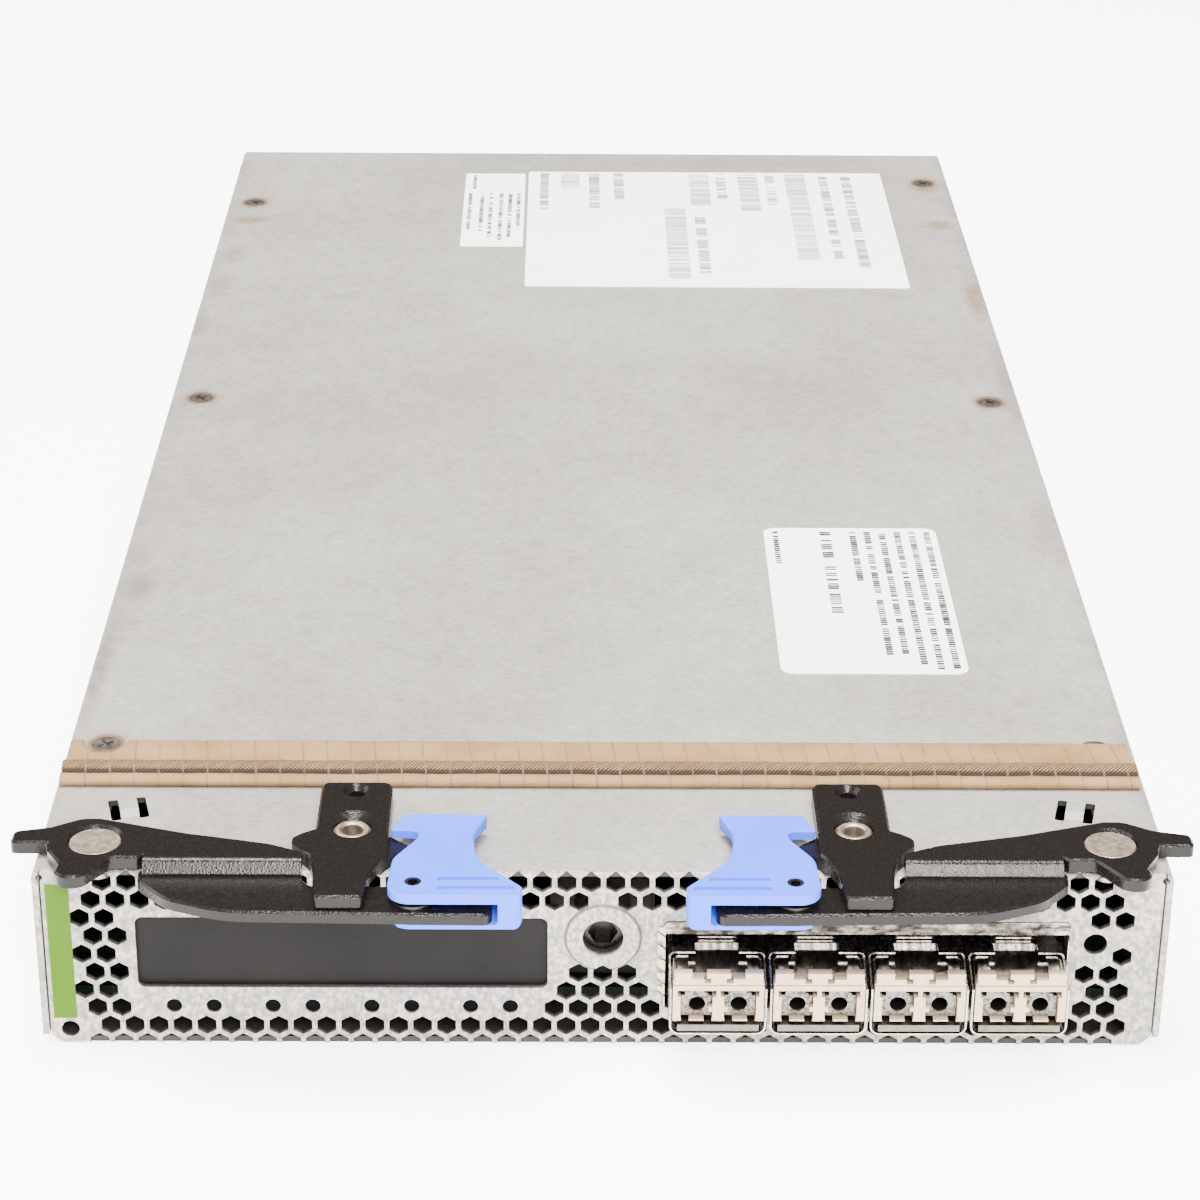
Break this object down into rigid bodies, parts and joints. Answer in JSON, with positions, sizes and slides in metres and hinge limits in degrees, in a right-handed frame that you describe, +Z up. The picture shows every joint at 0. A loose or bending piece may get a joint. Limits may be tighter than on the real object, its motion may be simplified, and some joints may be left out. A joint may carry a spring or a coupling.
{
  "type": "switch line card",
  "caption": "Flat steel plug-in line card with a perforated front panel, pluggable optical transceivers, and two black ejector levers with blue sprung latches.",
  "frame": {"origin": "centre of the card's underside", "axes": "+Z up, +Y towards the rear connectors, +X to the right seen from the front"},
  "size_m": [0.1776, 0.3566, 0.0341],
  "materials": {
    "galvanised_steel": "galvanised sheet, fine spangle",
    "black_casting": "black wrinkle powder coat",
    "rivet_nickel": "dull nickel",
    "screw_steel": "dark zinc",
    "spring_steel": "oiled spring steel",
    "latch_blue": "satin moulded",
    "gasket_fabric": "conductive ripstop over foam",
    "label_paper": "matt white",
    "label_green": "matt green",
    "module_zinc": "plated die casting",
    "cage_tin": "bright tinned sheet",
    "insert_grey": "matt",
    "blank_black": "fine texture",
    "pipe_clear": "smoked clear",
    "board_green": "solder mask",
    "chip_black": "epoxy",
    "sink_aluminium": "extruded, bare",
    "connector_black": "moulded"
  },
  "bodies": {
    "root": {"backplane_connector": "connector_black", "blanking_plate": "blank_black", "board_screws": "screw_steel", "bottom_tray": "galvanised_steel", "cage_1": "cage_tin", "cage_2": "cage_tin", "cage_3": "cage_tin", "cage_4": "cage_tin", "circuit_board": "board_green", "controller_chip": "chip_black", "cover_screws": "screw_steel", "emi_collar": "cage_tin", "emi_gasket": "gasket_fabric", "guide_socket": "screw_steel", "heatsink": "sink_aluminium", "host_connectors": "connector_black", "keeper_left": "black_casting", "keeper_right": "black_casting", "keeper_rivet_left": "rivet_nickel", "keeper_rivet_right": "rivet_nickel", "label_green": "label_green", "label_large": "label_paper", "label_notice": "label_paper", "label_small": "label_paper", "lever_rivet_left": "rivet_nickel", "lever_rivet_right": "rivet_nickel", "lever_washer_left": "screw_steel", "lever_washer_right": "screw_steel", "light_pipe_1": "pipe_clear", "light_pipe_2": "pipe_clear", "light_pipe_3": "pipe_clear", "light_pipe_4": "pipe_clear", "panel_bracket": "galvanised_steel", "panel_screw": "screw_steel", "power_connector": "connector_black", "screw_bushing": "rivet_nickel", "screw_nut": "screw_steel", "standoffs": "screw_steel", "top_cover": "galvanised_steel"},
    "left_lever": {"lever_left": "black_casting", "latch_spring_left": "spring_steel"},
    "left_latch": {"latch_left": "latch_blue", "latch_pin_left": "spring_steel"},
    "right_lever": {"lever_right": "black_casting", "latch_spring_right": "spring_steel"},
    "right_latch": {"latch_right": "latch_blue", "latch_pin_right": "spring_steel"},
    "module_1": {"transceiver_1": "module_zinc", "receptacle_1": "insert_grey"},
    "pull_1": {"release_bar_1": "cage_tin"},
    "module_2": {"transceiver_2": "module_zinc", "receptacle_2": "insert_grey"},
    "pull_2": {"release_bar_2": "cage_tin"},
    "module_3": {"transceiver_3": "module_zinc", "receptacle_3": "insert_grey"},
    "pull_3": {"release_bar_3": "cage_tin"},
    "module_4": {"transceiver_4": "module_zinc", "receptacle_4": "insert_grey"},
    "pull_4": {"release_bar_4": "cage_tin"}
  },
  "joints": [
    {"name": "left_lever_swing", "type": "hinge", "parent": "root", "child": "left_lever", "pos_m": [-0.0761, -0.16715, 0.032], "axis": [0, 0, -1], "range_deg": [0, 60]},
    {"name": "left_latch_release", "type": "hinge", "parent": "left_lever", "child": "left_latch", "pos_m": [-0.028, -0.1799, 0.032], "axis": [0, 0, -1], "range_deg": [0, 12], "stiffness_Nm_per_rad": 0.05, "springref_deg": -8.59},
    {"name": "right_lever_swing", "type": "hinge", "parent": "root", "child": "right_lever", "pos_m": [0.0761, -0.16715, 0.032], "axis": [0, 0, 1], "range_deg": [0, 60]},
    {"name": "right_latch_release", "type": "hinge", "parent": "right_lever", "child": "right_latch", "pos_m": [0.028, -0.1799, 0.032], "axis": [0, 0, 1], "range_deg": [0, 12], "stiffness_Nm_per_rad": 0.05, "springref_deg": -8.59},
    {"name": "module_1_slide", "type": "slide", "parent": "root", "child": "module_1", "axis": [0, -1, 0], "range_m": [0, 0.06]},
    {"name": "pull_1_slide", "type": "slide", "parent": "module_1", "child": "pull_1", "axis": [0, -1, 0], "range_m": [0, 0.0025]},
    {"name": "module_2_slide", "type": "slide", "parent": "root", "child": "module_2", "axis": [0, -1, 0], "range_m": [0, 0.06]},
    {"name": "pull_2_slide", "type": "slide", "parent": "module_2", "child": "pull_2", "axis": [0, -1, 0], "range_m": [0, 0.0025]},
    {"name": "module_3_slide", "type": "slide", "parent": "root", "child": "module_3", "axis": [0, -1, 0], "range_m": [0, 0.06]},
    {"name": "pull_3_slide", "type": "slide", "parent": "module_3", "child": "pull_3", "axis": [0, -1, 0], "range_m": [0, 0.0025]},
    {"name": "module_4_slide", "type": "slide", "parent": "root", "child": "module_4", "axis": [0, -1, 0], "range_m": [0, 0.06]},
    {"name": "pull_4_slide", "type": "slide", "parent": "module_4", "child": "pull_4", "axis": [0, -1, 0], "range_m": [0, 0.0025]}
  ]
}
